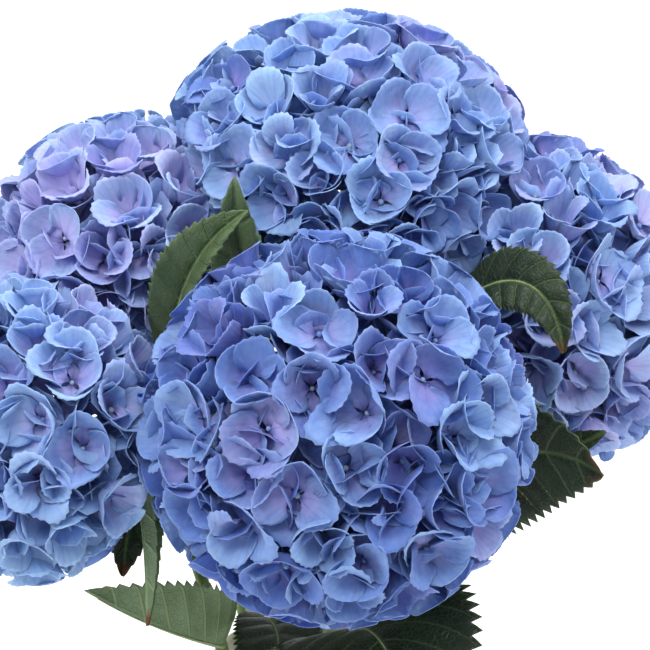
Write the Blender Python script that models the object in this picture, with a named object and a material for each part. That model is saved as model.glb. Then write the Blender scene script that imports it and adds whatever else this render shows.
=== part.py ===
"""Five blue mophead hydrangeas standing in a plain glazed vase.

Metres, +Z up. The origin is the middle of the vase's flat foot, and the front of
the arrangement faces -Y. Each cut stem stands on the vase's floor, leans on its
neck and branches into the crown of stalks that carries a bloom. A bloom is drawn
as the closed outer shape of its mass of florets, hollow underneath where the
crown comes in.
"""

import math

import bmesh
import bpy
from mathutils import Vector

# Gaps between pieces
CLEARANCE = 0.0003
LEADER_GAP = 0.0007
STALK_GAP = 0.0018
BLOOM_GAP = 0.0030
LEAF_GAP = 0.0010
NECK_GAP = 0.0023

# Vase: foot, belly, neck and lip, outside
VASE_HEIGHT = 0.230
FOOT_RADIUS = 0.050
BELLY_RADIUS = 0.071
BELLY_SHARE = 0.4
BELLY_HEIGHT = VASE_HEIGHT * BELLY_SHARE
NECK_RADIUS = 0.047
FLARE_HEIGHT = 0.027
NECK_HEIGHT = VASE_HEIGHT - FLARE_HEIGHT
LIP_RADIUS = 0.055
VASE_WALL = 0.005
VASE_FLOOR = 0.012
VASE_SIDES = 36

# Stems, and the crown of stalks that a stem branches into. FOOT_SHARE is how far out
# a stem stands on the vase's floor, beside where it passes the neck.
FOOT_SHARE = 0.62
STEM_RADIUS = 0.0042
STEM_TOP_RADIUS = 0.0033
STEM_SIDES = 8
LOWER_STEPS = 6
UPPER_STEPS = 12
CROWN_HEIGHT = 0.036
STALK_RADIUS = 0.0021
STALK_TIP_RADIUS = 0.0012
STALK_PAIRS = 3

# Blooms. A bloom is a dome over its widest part; RIM_SHARE and RIM_DROP give the edge
# of the hollow under it, and HOLLOW_TOP the hollow's highest point, in bloom radii.
RIM_SHARE = 0.72
RIM_DROP = 0.58
HOLLOW_TOP = -0.10
BLOOM_RADIUS = 0.096
BLOOM_FLATNESS = 0.76
BLOOM_SIDES = 26
LUMP_HEIGHT = 0.0025

# Leaves
LEAF_HALF_WIDTH = 0.040
LEAF_THICKNESS = 0.0010
PETIOLE_RADIUS = 0.0018
PETIOLE_ROOT = 0.010
PETIOLE_RINGS = 3
BLADE_RINGS = 9
LEAF_SIDES = 8
BLADE_MIDDLE = 0.6
STEP = 0.01

# Each bloom: its middle, in bloom radii from the middle of the vase's mouth, the way
# it faces, its size beside BLOOM_RADIUS, and how firmly it pushes its neighbours back.
BLOOMS = {
    "front": ((0.23, -0.83, 2.20), (0.00, -0.80, 0.60), 1.02, 1.10),
    "top": ((0.29, 0.97, 2.92), (0.02, -0.12, 0.99), 1.07, 1.20),
    "left_upper": ((-1.08, 0.70, 2.55), (-0.45, -0.25, 0.86), 0.82, 1.20),
    "left_lower": ((-1.46, -0.46, 1.97), (-0.62, -0.60, 0.50), 0.83, 1.10),
    "right": ((1.53, 0.74, 2.15), (0.82, -0.35, 0.46), 0.97, 1.00),
}

# Each leaf: its stem, how far up the stem it grows, the two bends and the tip that
# its midrib runs through, in bloom radii from the middle of the vase's mouth, the
# share of its length that is stalk, its width beside LEAF_HALF_WIDTH, the way its
# upper side faces and the slope of its halves up from the midrib, in degrees.
LEAVES = {
    "groove_right": (
        "top", 0.80, ((0.08, 0.59, 1.73), (-0.33, 0.16, 2.12), (-0.31, -0.20, 3.35)),
        0.42, 0.65, (-0.35, -0.9, 0.25), 14,
    ),
    "groove_left": (
        "left_lower", 0.52, ((-0.84, 0.18, 1.91), (-0.76, -0.32, 2.86), (-0.24, -0.36, 3.23)),
        0.56, 0.46, (-0.7, -0.7, 0.2), 35,
    ),
    "right_over": (
        "front", 0.66, ((0.73, 0.53, 2.54), (1.33, -0.38, 3.23), (1.43, -0.57, 2.50)),
        0.52, 0.44, (0.2, -0.85, 0.5), 12,
    ),
    "right_low": (
        "front", 0.52, ((0.74, 0.03, 1.50), (1.36, -0.28, 1.90), (1.65, -0.80, 1.88)),
        0.25, 1.07, (0.0, -0.95, 0.3), 8,
    ),
    "right_behind": (
        "right", 0.62, ((0.81, 0.24, 1.19), (1.33, -0.30, 1.58), (1.69, -0.51, 1.98)),
        0.35, 0.40, (0.1, -0.8, 0.6), 15,
    ),
    "bottom_front": (
        "front", 0.28, ((0.37, -0.58, 0.97), (0.58, -1.05, 1.04), (0.69, -1.39, 0.27)),
        0.22, 1.40, (0.1, -0.5, 0.85), 10,
    ),
    "bottom_left": (
        "left_lower", 0.20, ((-0.36, -0.51, 0.54), (-0.72, -0.72, 0.72), (-1.16, -0.78, 1.12)),
        0.22, 0.78, (0.0, 0.96, 0.29), 45,
    ),
    "left_hanging": (
        "left_lower", 0.90, ((-0.96, -0.22, 1.71), (-0.79, -0.64, 1.71), (-0.81, -0.97, 1.02)),
        0.25, 0.38, (0.9, -0.4, 0.2), 62,
    ),
    "left_dark": (
        "left_lower", 0.72, ((-0.88, -0.11, 1.49), (-0.92, -0.32, 1.49), (-0.98, -0.53, 1.04)),
        0.22, 0.55, (0.2, -0.85, 0.5), 20,
    ),
    "left_under": (
        "left_lower", 0.12, ((-0.65, -0.26, 0.10), (-0.79, -0.49, 0.17), (-0.92, -0.74, 0.06)),
        0.22, 0.60, (0.1, -0.4, 0.9), 20,
    ),
    "bottom_middle": (
        "left_upper", 0.16, ((0.01, -0.19, 0.50), (-0.09, -0.68, 0.65), (-0.23, -1.11, 0.14)),
        0.22, 0.62, (0, -0.45, 0.9), 12,
    ),
    "back_right": (
        "top", 0.40, ((0.16, 1.18, 1.15), (0.69, 1.50, 1.65), (1.00, 1.76, 1.39)),
        0.22, 0.95, (0.3, 0.5, 0.8), 14,
    ),
    "back_left": (
        "left_upper", 0.50, ((-0.41, 1.19, 1.18), (-0.77, 1.55, 1.70), (-1.14, 1.81, 1.33)),
        0.22, 0.95, (-0.3, 0.5, 0.8), 14,
    ),
    "back_low": (
        "top", 0.22, ((-0.04, 0.93, 0.55), (-0.10, 1.29, 1.02), (-0.20, 1.60, 0.66)),
        0.22, 0.90, (-0.1, 0.45, 0.9), 14,
    ),
    "right_back": (
        "right", 0.36, ((0.89, 0.82, 1.02), (1.31, 1.08, 1.28), (1.73, 1.19, 1.02)),
        0.22, 0.90, (0.4, 0.3, 0.85), 14,
    ),
}


# ---------------------------------------------------------------- mesh helpers


def add_object(name, mesh, material):
    """A visible piece, shaded smooth, with its edges over 40 degrees kept sharp."""
    piece = bpy.data.objects.new(name, mesh)
    bpy.context.scene.collection.objects.link(piece)
    mesh.materials.append(material)
    mesh.shade_smooth()
    mesh.set_sharp_from_angle(angle=math.radians(40))
    return piece


def make_material(name, colour, roughness, metallic=0.0):
    material = bpy.data.materials.new(name)
    material.use_nodes = True
    surface = material.node_tree.nodes["Principled BSDF"]
    surface.inputs["Base Color"].default_value = (*colour, 1.0)
    surface.inputs["Roughness"].default_value = roughness
    surface.inputs["Metallic"].default_value = metallic
    return material


def mesh_of(name, shape):
    """The bmesh as a mesh, with its faces pointing out."""
    bmesh.ops.recalc_face_normals(shape, faces=shape.faces)
    mesh = bpy.data.meshes.new(name)
    shape.to_mesh(mesh)
    shape.free()
    return mesh


def loft(name, rings, start=None, end=None):
    """A closed skin over rings of equally many points. Each end is closed by a face,
    or drawn to a point where start or end gives one."""
    shape = bmesh.new()
    loops = [[shape.verts.new(point) for point in ring] for ring in rings]
    sides = len(loops[0])
    for below, above in zip(loops, loops[1:]):
        for i in range(sides):
            j = (i + 1) % sides
            shape.faces.new((below[i], below[j], above[j], above[i]))
    for loop, point in ((loops[0], start), (loops[-1], end)):
        if point is None:
            shape.faces.new(loop)
            continue
        pole = shape.verts.new(point)
        for i in range(sides):
            shape.faces.new((loop[i], loop[(i + 1) % sides], pole))
    return mesh_of(name, shape)


def bezier(points, t):
    """The point at t on a Bezier curve of any degree."""
    level = list(points)
    while len(level) > 1:
        level = [a.lerp(b, t) for a, b in zip(level, level[1:])]
    return level[0]


def square_to(direction, hint):
    """A unit vector square to direction, as near to hint as it can be."""
    direction = direction.normalized()
    return (hint - direction * hint.dot(direction)).normalized()


def tube_rings(path, radii, sides):
    """Rings of points round a path. Each ring's frame is carried on from the last,
    so the tube doesn't twist."""
    rings = []
    side = Vector((1.0, 0.0, 0.0))
    last = len(path) - 1
    for i, (point, radius) in enumerate(zip(path, radii)):
        along = (path[min(i + 1, last)] - path[max(i - 1, 0)]).normalized()
        side = square_to(along, side)
        across = along.cross(side)
        turns = [2 * math.pi * k / sides for k in range(sides)]
        rings.append([point + radius * (side * math.cos(a) + across * math.sin(a)) for a in turns])
    return rings


# ------------------------------------------------------------------------ vase


def vase_radius(height):
    """The vase's outer radius: full at the belly, drawn in at the neck, flared at the lip."""
    if height < BELLY_HEIGHT:
        rise = math.sin(math.pi / 2 * height / BELLY_HEIGHT)
        return FOOT_RADIUS + (BELLY_RADIUS - FOOT_RADIUS) * rise
    if height < NECK_HEIGHT:
        fall = (1 - math.cos(math.pi * (height - BELLY_HEIGHT) / (NECK_HEIGHT - BELLY_HEIGHT))) / 2
        return BELLY_RADIUS + (NECK_RADIUS - BELLY_RADIUS) * fall
    flare = 1 - math.cos(math.pi / 2 * (height - NECK_HEIGHT) / (VASE_HEIGHT - NECK_HEIGHT))
    return NECK_RADIUS + (LIP_RADIUS - NECK_RADIUS) * flare


def vase_profile():
    """Radius and height from the foot's edge up the outside, round the lip and down the inside."""
    foot_round = 0.003
    lip_round = VASE_WALL / 2
    lip_base = VASE_HEIGHT - lip_round
    walls = 12
    profile = [(vase_radius(0) - foot_round, 0.0)]
    outside = [foot_round + (lip_base - foot_round) * i / walls for i in range(walls + 1)]
    profile += [(vase_radius(z), z) for z in outside]
    middle = vase_radius(lip_base) - lip_round
    for i in range(1, 4):
        turn = math.pi * i / 4
        profile.append((middle + lip_round * math.cos(turn), lip_base + lip_round * math.sin(turn)))
    inside = [lip_base + (VASE_FLOOR - lip_base) * i / walls for i in range(walls + 1)]
    profile += [(vase_radius(z) - VASE_WALL, z) for z in inside]
    return profile


def build_vase():
    turns = [2 * math.pi * k / VASE_SIDES for k in range(VASE_SIDES)]
    rings = [[Vector((r * math.cos(a), r * math.sin(a), z)) for a in turns] for r, z in vase_profile()]
    mesh = loft("vase", rings, start=Vector((0, 0, 0)), end=Vector((0, 0, VASE_FLOOR)))
    glaze = make_material("white_glaze", (0.86, 0.84, 0.80), 0.18)
    add_object("vase", mesh, glaze)


# ---------------------------------------------------------------------- blooms


class Bloom:
    """Where a bloom is, which way it faces and how large it is."""

    def __init__(self, place, facing, size, firmness):
        mouth = Vector((0, 0, VASE_HEIGHT))
        self.middle = mouth + Vector(place) * BLOOM_RADIUS
        self.facing = Vector(facing).normalized()
        self.radius = BLOOM_RADIUS * size
        self.firmness = firmness
        self.height = self.radius * BLOOM_FLATNESS
        self.turn = self.facing.to_track_quat("Z", "Y").to_matrix()
        self.crown_top = HOLLOW_TOP * self.radius
        self.rim_radius = RIM_SHARE * self.radius
        self.rim_height = -RIM_DROP * self.radius

    def to_world(self, local):
        return self.middle + self.turn @ local

    def hollow_height(self, out):
        """Height of the hollow under the florets, at this distance from the bloom's axis."""
        share = out / self.rim_radius
        return self.crown_top + (self.rim_height - self.crown_top) * share * share

    def crown_base(self):
        """Where the stem ends and its crown of stalks begins."""
        return self.to_world(Vector((0, 0, self.crown_top - CROWN_HEIGHT)))


def press_planes(name, blooms):
    """A plane for each neighbour, between the two blooms, as (point, direction out)."""
    this = blooms[name]
    push = this.radius * this.firmness
    planes = []
    for other_name, other in blooms.items():
        if other_name == name:
            continue
        apart = other.middle - this.middle
        share = push / (push + other.radius * other.firmness)
        out = apart.normalized()
        planes.append((this.middle + out * (apart.length * share - BLOOM_GAP / 2), out))
    return planes


def pressed(bloom, point, planes):
    """The point, drawn in towards the bloom's middle where a neighbour presses on it."""
    reach = point - bloom.middle
    share = 1.0
    for on_plane, out in planes:
        allowed = (on_plane - bloom.middle).dot(out)
        wanted = reach.dot(out)
        if wanted > allowed:
            share = min(share, allowed / wanted)
    return bloom.middle + reach * share


def build_bloom(name, blooms, material):
    bloom = blooms[name]
    planes = press_planes(name, blooms)
    turns = [2 * math.pi * k / BLOOM_SIDES for k in range(BLOOM_SIDES)]
    rim_angle = math.atan2(bloom.rim_radius, bloom.rim_height / BLOOM_FLATNESS)
    rows = 9
    rings = []
    for row in range(1, rows + 1):
        down = rim_angle * row / rows
        ring = []
        for turn in turns:
            lump = LUMP_HEIGHT * math.cos(5 * turn + 2 * row) * math.sin(3 * down)
            out = (bloom.radius + lump) * math.sin(down)
            up = (bloom.height + lump) * math.cos(down)
            local = Vector((out * math.cos(turn), out * math.sin(turn), up))
            ring.append(pressed(bloom, bloom.to_world(local), planes))
        rings.append(ring)
    for share in (0.86, 0.66, 0.44, 0.22):
        out = bloom.rim_radius * share
        up = bloom.hollow_height(out)
        local = [Vector((out * math.cos(a), out * math.sin(a), up)) for a in turns]
        rings.append([pressed(bloom, bloom.to_world(point), planes) for point in local])
    top = pressed(bloom, bloom.to_world(Vector((0, 0, bloom.height))), planes)
    hollow_top = bloom.to_world(Vector((0, 0, bloom.crown_top)))
    mesh = loft("bloom_" + name, rings, start=top, end=hollow_top)
    add_object("bloom_" + name, mesh, material)


# ----------------------------------------------------------------------- stems


def stem_path(bloom):
    """The stem's two curves: up inside the vase to its neck, and on to the bloom's crown."""
    crown = bloom.crown_base()
    out = Vector((crown.x, crown.y, 0)).normalized()
    reach = NECK_RADIUS - VASE_WALL - STEM_RADIUS - NECK_GAP
    foot = out * (FOOT_SHARE * reach) + Vector((0, 0, VASE_FLOOR + CLEARANCE))
    neck = out * reach + Vector((0, 0, NECK_HEIGHT))
    lean = (Vector((0, 0, 1)) + out * 0.20).normalized()
    rise = (crown - neck).length
    lower = (foot, foot + Vector((0, 0, 0.06)), neck - lean * 0.06, neck)
    upper = (neck, neck + lean * rise * 0.42, crown - bloom.facing * rise * 0.36, crown)
    return lower, upper


def stem_points(bloom):
    lower, upper = stem_path(bloom)
    points = [bezier(lower, i / LOWER_STEPS) for i in range(LOWER_STEPS)]
    return points + [bezier(upper, i / UPPER_STEPS) for i in range(UPPER_STEPS + 1)]


def stem_radius_at(share):
    return STEM_RADIUS + (STEM_TOP_RADIUS - STEM_RADIUS) * share


def build_stalk(name, bloom, level, side):
    """One stalk of the crown, from the stem's middle to just under the florets."""
    base = bloom.crown_top - CROWN_HEIGHT
    start = base + CROWN_HEIGHT * (0.10 + 0.24 * level)
    turn = math.pi * side + math.pi / 2 * level + 0.35
    out = bloom.rim_radius * (0.86, 0.66, 0.44)[level]
    way = Vector((math.cos(turn), math.sin(turn), 0))
    steepness = -2 * bloom.hollow_height(out) + 2 * bloom.crown_top
    down = Vector((0, 0, -1))
    normal = (down * out - way * steepness).normalized()
    end = way * out + Vector((0, 0, bloom.hollow_height(out))) + normal * (STALK_TIP_RADIUS + STALK_GAP)
    first = Vector((0, 0, start))
    bend = way * out * 0.45 + Vector((0, 0, start + 0.3 * (end.z - start) + 0.004))
    path = [bloom.to_world(bezier((first, bend, end), i / 6)) for i in range(7)]
    radii = [STALK_RADIUS + (STALK_TIP_RADIUS - STALK_RADIUS) * i / 6 for i in range(7)]
    mesh = loft(name, tube_rings(path, radii, 7))
    stalk = bpy.data.objects.new(name, mesh)
    bpy.context.scene.collection.objects.link(stalk)
    stalk.hide_render = True
    stalk.display_type = "WIRE"
    return stalk


def build_stem(name, bloom, material):
    """The stem with its crown: side stalks in crossed pairs, and the leader up the middle."""
    points = stem_points(bloom)
    last = len(points) - 1
    radii = [stem_radius_at(i / last) for i in range(last + 1)]
    leader = bloom.to_world(Vector((0, 0, bloom.crown_top - LEADER_GAP)))
    steps = 4
    points += [points[-1].lerp(leader, i / steps) for i in range(1, steps + 1)]
    radii += [STEM_TOP_RADIUS + (STALK_RADIUS - STEM_TOP_RADIUS) * i / steps for i in range(1, steps + 1)]
    mesh = loft("stem_" + name, tube_rings(points, radii, STEM_SIDES))
    stem = add_object("stem_" + name, mesh, material)
    for level in range(STALK_PAIRS):
        for side in range(2):
            stalk = build_stalk(f"stalk_{name}_{level}_{side}", bloom, level, side)
            join = stem.modifiers.new(stalk.name, "BOOLEAN")
            join.operation = "UNION"
            join.object = stalk


# ---------------------------------------------------------------------- leaves


def along_stem(bloom, share):
    """The point, direction and radius of a stem at this share of its way from neck to crown."""
    points = stem_points(bloom)
    place = LOWER_STEPS + share * UPPER_STEPS
    i = min(int(place), len(points) - 2)
    point = points[i].lerp(points[i + 1], place - i)
    along = (points[i + 1] - points[i]).normalized()
    return point, along, stem_radius_at(place / (len(points) - 1))


def blade_width(share):
    """Half the blade's width beside its widest, from its base to its tip."""
    return math.sin(math.pi * share ** 0.82) ** 0.72


def leaf_frames(curve, shares, root, face):
    """The blade's up direction at each share of the midrib: square to face in the middle of
    the blade, and carried on from there to both ends, so the leaf doesn't twist."""
    tangents = [bezier(curve, min(s + STEP, 1)) - bezier(curve, max(s - STEP, 0)) for s in shares]
    tangents[0] = root
    tangents = [tangent.normalized() for tangent in tangents]
    middle = round(len(shares) * BLADE_MIDDLE)
    ups = {middle: square_to(tangents[middle], face)}
    for i in range(middle + 1, len(shares)):
        ups[i] = square_to(tangents[i], ups[i - 1])
    for i in reversed(range(middle)):
        ups[i] = square_to(tangents[i], ups[i + 1])
    return [(tangents[i], ups[i]) for i in range(len(shares))]


def off_the_blooms(ring, blooms):
    """A ring of the leaf's points, moved as one so that it lies beside the blooms."""
    for name, bloom in blooms.items():
        planes = press_planes(name, blooms)
        push = Vector((0, 0, 0))
        for point in ring:
            reach = point - bloom.middle
            local = bloom.turn.transposed() @ reach
            out = math.hypot(local.x, local.y)
            if local.z < bloom.hollow_height(out):
                continue
            stretch = math.hypot(out / bloom.radius, local.z / bloom.height)
            surface = pressed(bloom, bloom.middle + reach / stretch, planes)
            short = (surface - bloom.middle).length + LEAF_GAP - reach.length
            if short > push.length:
                push = reach.normalized() * short
        ring = [point + push for point in ring]
    return ring


def build_leaf(name, blooms, material):
    stem, share, way, stalk, width, face, slope = LEAVES[name]
    point, along, radius = along_stem(blooms[stem], share)
    mouth = Vector((0, 0, VASE_HEIGHT))
    bends = [mouth + Vector(place) * BLOOM_RADIUS for place in way]
    out = square_to(along, bends[0] - point)
    start = point + out * (radius + CLEARANCE)
    curve = [start, start + out * PETIOLE_ROOT] + bends
    slope = math.radians(slope)
    shares = [stalk * i / PETIOLE_RINGS for i in range(PETIOLE_RINGS)]
    shares += [stalk + (1 - stalk) * i / BLADE_RINGS for i in range(BLADE_RINGS)]
    frames = leaf_frames(curve, shares, out, Vector(face))
    rings = []
    for share, (tangent, up) in zip(shares, frames):
        middle = bezier(curve, share)
        across = tangent.cross(up)
        blade = max(0, (share - stalk) / (1 - stalk))
        half = max(PETIOLE_RADIUS, LEAF_HALF_WIDTH * width * blade_width(blade))
        flat = min(1, blade * BLADE_RINGS)
        thick = PETIOLE_RADIUS + (LEAF_THICKNESS / 2 - PETIOLE_RADIUS) * flat
        ring = []
        for k in range(LEAF_SIDES):
            turn = 2 * math.pi * k / LEAF_SIDES
            reach = half * math.cos(turn)
            lift = abs(reach) * math.sin(slope) * flat
            reach *= 1 - (1 - math.cos(slope)) * flat
            ring.append(middle + across * reach + up * (lift + thick * math.sin(turn)))
        rings.append(off_the_blooms(ring, blooms) if blade else ring)
    mesh = loft("leaf_" + name, rings, end=bends[-1])
    add_object("leaf_" + name, mesh, material)


# --------------------------------------------------------------------- drawing


def main():
    for old in list(bpy.data.objects):
        bpy.data.objects.remove(old, do_unlink=True)
    blooms = {name: Bloom(*facts) for name, facts in BLOOMS.items()}
    petals = make_material("blue_petals", (0.18, 0.30, 0.78), 0.6)
    bark = make_material("green_stem", (0.16, 0.26, 0.09), 0.6)
    foliage = make_material("green_leaf", (0.05, 0.12, 0.03), 0.5)
    build_vase()
    for name, bloom in blooms.items():
        build_bloom(name, blooms, petals)
        build_stem(name, bloom, bark)
    for name in LEAVES:
        build_leaf(name, blooms, foliage)


main()
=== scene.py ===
"""Five blue mophead hydrangeas standing in a plain glazed vase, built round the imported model."""

import math
import random

import bpy
import numpy as np
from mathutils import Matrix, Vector


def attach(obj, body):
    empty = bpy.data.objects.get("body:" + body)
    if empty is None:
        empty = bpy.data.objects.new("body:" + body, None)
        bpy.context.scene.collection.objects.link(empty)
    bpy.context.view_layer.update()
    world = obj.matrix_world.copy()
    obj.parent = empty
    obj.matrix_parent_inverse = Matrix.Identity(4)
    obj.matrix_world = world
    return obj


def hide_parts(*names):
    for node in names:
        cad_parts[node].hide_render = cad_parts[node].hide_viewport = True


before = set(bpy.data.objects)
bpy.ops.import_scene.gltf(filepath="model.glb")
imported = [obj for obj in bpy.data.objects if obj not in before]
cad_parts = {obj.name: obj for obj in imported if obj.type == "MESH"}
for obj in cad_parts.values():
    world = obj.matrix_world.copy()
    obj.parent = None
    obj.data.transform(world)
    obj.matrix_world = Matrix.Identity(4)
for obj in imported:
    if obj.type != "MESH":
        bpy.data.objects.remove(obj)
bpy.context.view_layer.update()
bpy.ops.object.select_all(action="DESELECT")


# ---------------------------------------------------------------- the vase
# A plain vase thrown in white stoneware: full at the belly, drawn in at the neck
# and flared at the lip. The glaze is clear and thick, thins to a warmer tone on the
# lip, and stops at a bare ring of clay under the foot.

VASE_HEIGHT, FOOT_RADIUS = 0.230, 0.050
BELLY_RADIUS, BELLY_HEIGHT = 0.071, 0.092
NECK_RADIUS, NECK_HEIGHT = 0.047, 0.203
LIP_RADIUS, VASE_WALL, VASE_FLOOR = 0.055, 0.005, 0.012


class Wire:
    """One output of a shader node. Sums on it add Math nodes; node() adds any other."""

    def __init__(self, tree, socket=None):
        self.tree, self.socket = tree, socket

    def node(self, kind, settings=None, inputs=None, output=0):
        """A new node: its settings first, then its sockets' values or links."""
        made = self.tree.nodes.new("ShaderNode" + kind)
        for name, value in (settings or {}).items():
            setattr(made, name, value)
        for name, value in (inputs or {}).items():
            if isinstance(value, Wire):
                self.tree.links.new(value.socket, made.inputs[name])
            else:
                made.inputs[name].default_value = value
        return Wire(self.tree, made.outputs[output])

    def maths(self, operation, *others):
        """A Math node with this as its first value."""
        return self.node("Math", {"operation": operation}, dict(enumerate((self, *others))))

    def __add__(self, other):
        return self.maths("ADD", other)

    def __sub__(self, other):
        return self.maths("SUBTRACT", other)

    def __rsub__(self, other):
        return self.node("Math", {"operation": "SUBTRACT"}, {0: other, 1: self})

    def __mul__(self, other):
        return self.maths("MULTIPLY", other)

    def __pow__(self, other):
        return self.maths("POWER", other)

    __radd__, __rmul__ = __add__, __mul__

    def between(self, low, high):
        """0 below low, 1 above high, and smooth between them."""
        ends = {"Value": self, "From Min": low, "From Max": high}
        return self.node("MapRange", {"interpolation_type": "SMOOTHSTEP"}, ends)

    def blend(self, first, second):
        """The first colour where this is 0, the second where it is 1."""
        return self.node("Mix", {"data_type": "RGBA"}, {0: self, 6: first, 7: second}, 2)

    def into(self, socket):
        """Gives a finished material's socket this value."""
        self.tree.links.new(self.socket, socket)


def finish_called(name, **constants):
    """A new material, a Wire into its tree and its sockets, the constants already set."""
    material = bpy.data.materials.new(name)
    material.use_nodes = True
    surface = material.node_tree.nodes["Principled BSDF"]
    for socket, value in constants.items():
        surface.inputs[socket.replace("_", " ")].default_value = value
    return material, Wire(material.node_tree), surface.inputs


def colour(red, green, blue):
    """A colour socket's value from one given in 0 to 255, as on a paint chart."""
    def linear(value):
        value /= 255
        return value / 12.92 if value < 0.04045 else ((value + 0.055) / 1.055) ** 2.4
    return (linear(red), linear(green), linear(blue), 1.0)


def mesh_piece(name, points, faces, material, marks=None):
    """A smooth piece from points and faces, with a value per point for each mark."""
    mesh = bpy.data.meshes.new(name)
    mesh.from_pydata(np.asarray(points).tolist(), [], faces)
    for mark, values in (marks or {}).items():
        mesh.attributes.new(mark, "FLOAT", "POINT").data.foreach_set("value", np.ravel(values))
    mesh.shade_smooth()
    mesh.materials.append(material)
    piece = bpy.data.objects.new(name, mesh)
    bpy.context.scene.collection.objects.link(piece)
    return piece


def vase_radius(height):
    """How wide the vase is outside, from its middle, at this height."""
    if height < BELLY_HEIGHT:
        return FOOT_RADIUS + (BELLY_RADIUS - FOOT_RADIUS) * math.sin(math.pi / 2 * height / BELLY_HEIGHT)
    if height < NECK_HEIGHT:
        fall = (1 - math.cos(math.pi * (height - BELLY_HEIGHT) / (NECK_HEIGHT - BELLY_HEIGHT))) / 2
        return BELLY_RADIUS + (NECK_RADIUS - BELLY_RADIUS) * fall
    flare = 1 - math.cos(math.pi / 2 * (height - NECK_HEIGHT) / (VASE_HEIGHT - NECK_HEIGHT))
    return NECK_RADIUS + (LIP_RADIUS - NECK_RADIUS) * flare


lip_round, foot_ring = VASE_WALL / 2, 0.0015
lip_base = VASE_HEIGHT - lip_round
outline = [(0.0, foot_ring), (FOOT_RADIUS - 0.010, foot_ring), (FOOT_RADIUS - 0.008, 0.0)]
outline += [(FOOT_RADIUS - 0.003, 0.0), (FOOT_RADIUS - 0.001, 0.0008)]
outline += [(vase_radius(z), z) for z in np.linspace(0.003, lip_base, 44)]
lip_middle = vase_radius(lip_base) - lip_round
lip_turns = [math.pi * i / 8 for i in range(1, 8)]
outline += [(lip_middle + lip_round * math.cos(turn), lip_base + lip_round * math.sin(turn))
            for turn in lip_turns]
outline += [(vase_radius(z) - VASE_WALL, z) for z in np.linspace(lip_base, VASE_FLOOR + 0.006, 40)]
corner = vase_radius(VASE_FLOOR) - VASE_WALL
outline += [(corner - 0.002, VASE_FLOOR + 0.002), (corner - 0.007, VASE_FLOOR), (0.0, VASE_FLOOR)]

vase_mesh = bpy.data.meshes.new("vase_body")
links = [(i, i + 1) for i in range(len(outline) - 1)]
vase_mesh.from_pydata([(r, 0.0, z) for r, z in outline], links, [])
vase = bpy.data.objects.new("vase_body", vase_mesh)
bpy.context.scene.collection.objects.link(vase)
bpy.context.view_layer.objects.active = vase
vase.select_set(True)
bpy.ops.object.mode_set(mode="EDIT")
bpy.ops.mesh.select_all(action="SELECT")
bpy.ops.mesh.spin(steps=96, angle=2 * math.pi, center=(0, 0, 0), axis=(0, 0, 1))
bpy.ops.mesh.select_all(action="SELECT")
bpy.ops.mesh.remove_doubles(threshold=1e-6)
bpy.ops.mesh.normals_make_consistent(inside=False)
bpy.ops.object.mode_set(mode="OBJECT")
bpy.ops.object.shade_smooth_by_angle(angle=math.radians(50))
bpy.ops.object.select_all(action="DESELECT")

glaze, tree, sockets = finish_called("white_glaze", Coat_Weight=0.6, Coat_Roughness=0.05, IOR=1.5)
place = tree.node("TexCoord", output=3)
height = place.node("SeparateXYZ", inputs={0: place}, output=2)
cloud = place.node("TexNoise", inputs={"Vector": place, "Scale": 22.0, "Detail": 4.0})
specks = place.node("TexNoise", inputs={"Vector": place, "Scale": 900.0, "Detail": 1.0}).between(0.70, 0.78)
thin = height.between(VASE_HEIGHT - 0.006, VASE_HEIGHT)
body = cloud.between(0.3, 0.7).blend(colour(236, 233, 226), colour(243, 241, 236))
body = (specks * 0.35).blend(body, colour(176, 160, 138))
body = (thin * 0.6).blend(body, colour(214, 198, 172))
bare = 1 - height.between(0.0006, 0.0016)
body = bare.blend(body, colour(205, 186, 158))
rings = (height * 900.0 + cloud * 3.0).maths("SINE")
relief = cloud * 0.6 + rings * 0.12
bump = place.node("Bump", inputs={"Strength": 0.25, "Distance": 0.0008, "Height": relief})
body.into(sockets["Base Color"])
(bare * 0.6 + cloud * 0.08 + 0.12).into(sockets["Roughness"])
bump.into(sockets["Normal"])
vase.data.materials.append(glaze)
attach(vase, "root")
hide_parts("vase")


# ---------------------------------------------------------------- the stems
# Each flower's stem is one woody green shoot of last year's growth, cut at the foot,
# with a swollen node where each pair of leaves grew. It stands on the vase's floor,
# leans on its neck and branches under the flower into a crown of crossed stalks.

BLOOM_RADIUS, BLOOM_FLATNESS = 0.096, 0.76
CROWN_HEIGHT, NECK_GAP = 0.036, 0.0023
STEM_RADIUS, STEM_TOP_RADIUS = 0.0042, 0.0033
STALK_RADIUS, STALK_TIP_RADIUS = 0.0021, 0.0012
FOOT_SHARE, FOOT_GAP = 0.62, 0.0003
LOWER_STEPS, UPPER_STEPS = 6, 12

# The hollow under a head, in shares of the head's radius: its highest point, and its
# rim's radius and depth.
HOLLOW_TOP, RIM_SHARE, RIM_DROP = -0.10, 0.72, 0.58


class Head:
    """Where a flower head is, which way it faces and how large it is."""

    def __init__(self, place, facing, size, firmness):
        self.middle = Vector((0, 0, VASE_HEIGHT)) + Vector(place) * BLOOM_RADIUS
        self.facing = Vector(facing).normalized()
        self.radius = BLOOM_RADIUS * size
        self.firmness = firmness
        self.turn = self.facing.to_track_quat("Z", "Y").to_matrix()
        self.crown_top = HOLLOW_TOP * self.radius
        self.rim_radius = RIM_SHARE * self.radius
        self.rim_height = -RIM_DROP * self.radius

    def to_world(self, x, y, z):
        return self.middle + self.turn @ Vector((x, y, z))

    def hollow_height(self, out):
        """How high the hollow under the head is, this far out from the stem."""
        share = out / self.rim_radius
        return self.crown_top + (self.rim_height - self.crown_top) * share * share


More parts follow.
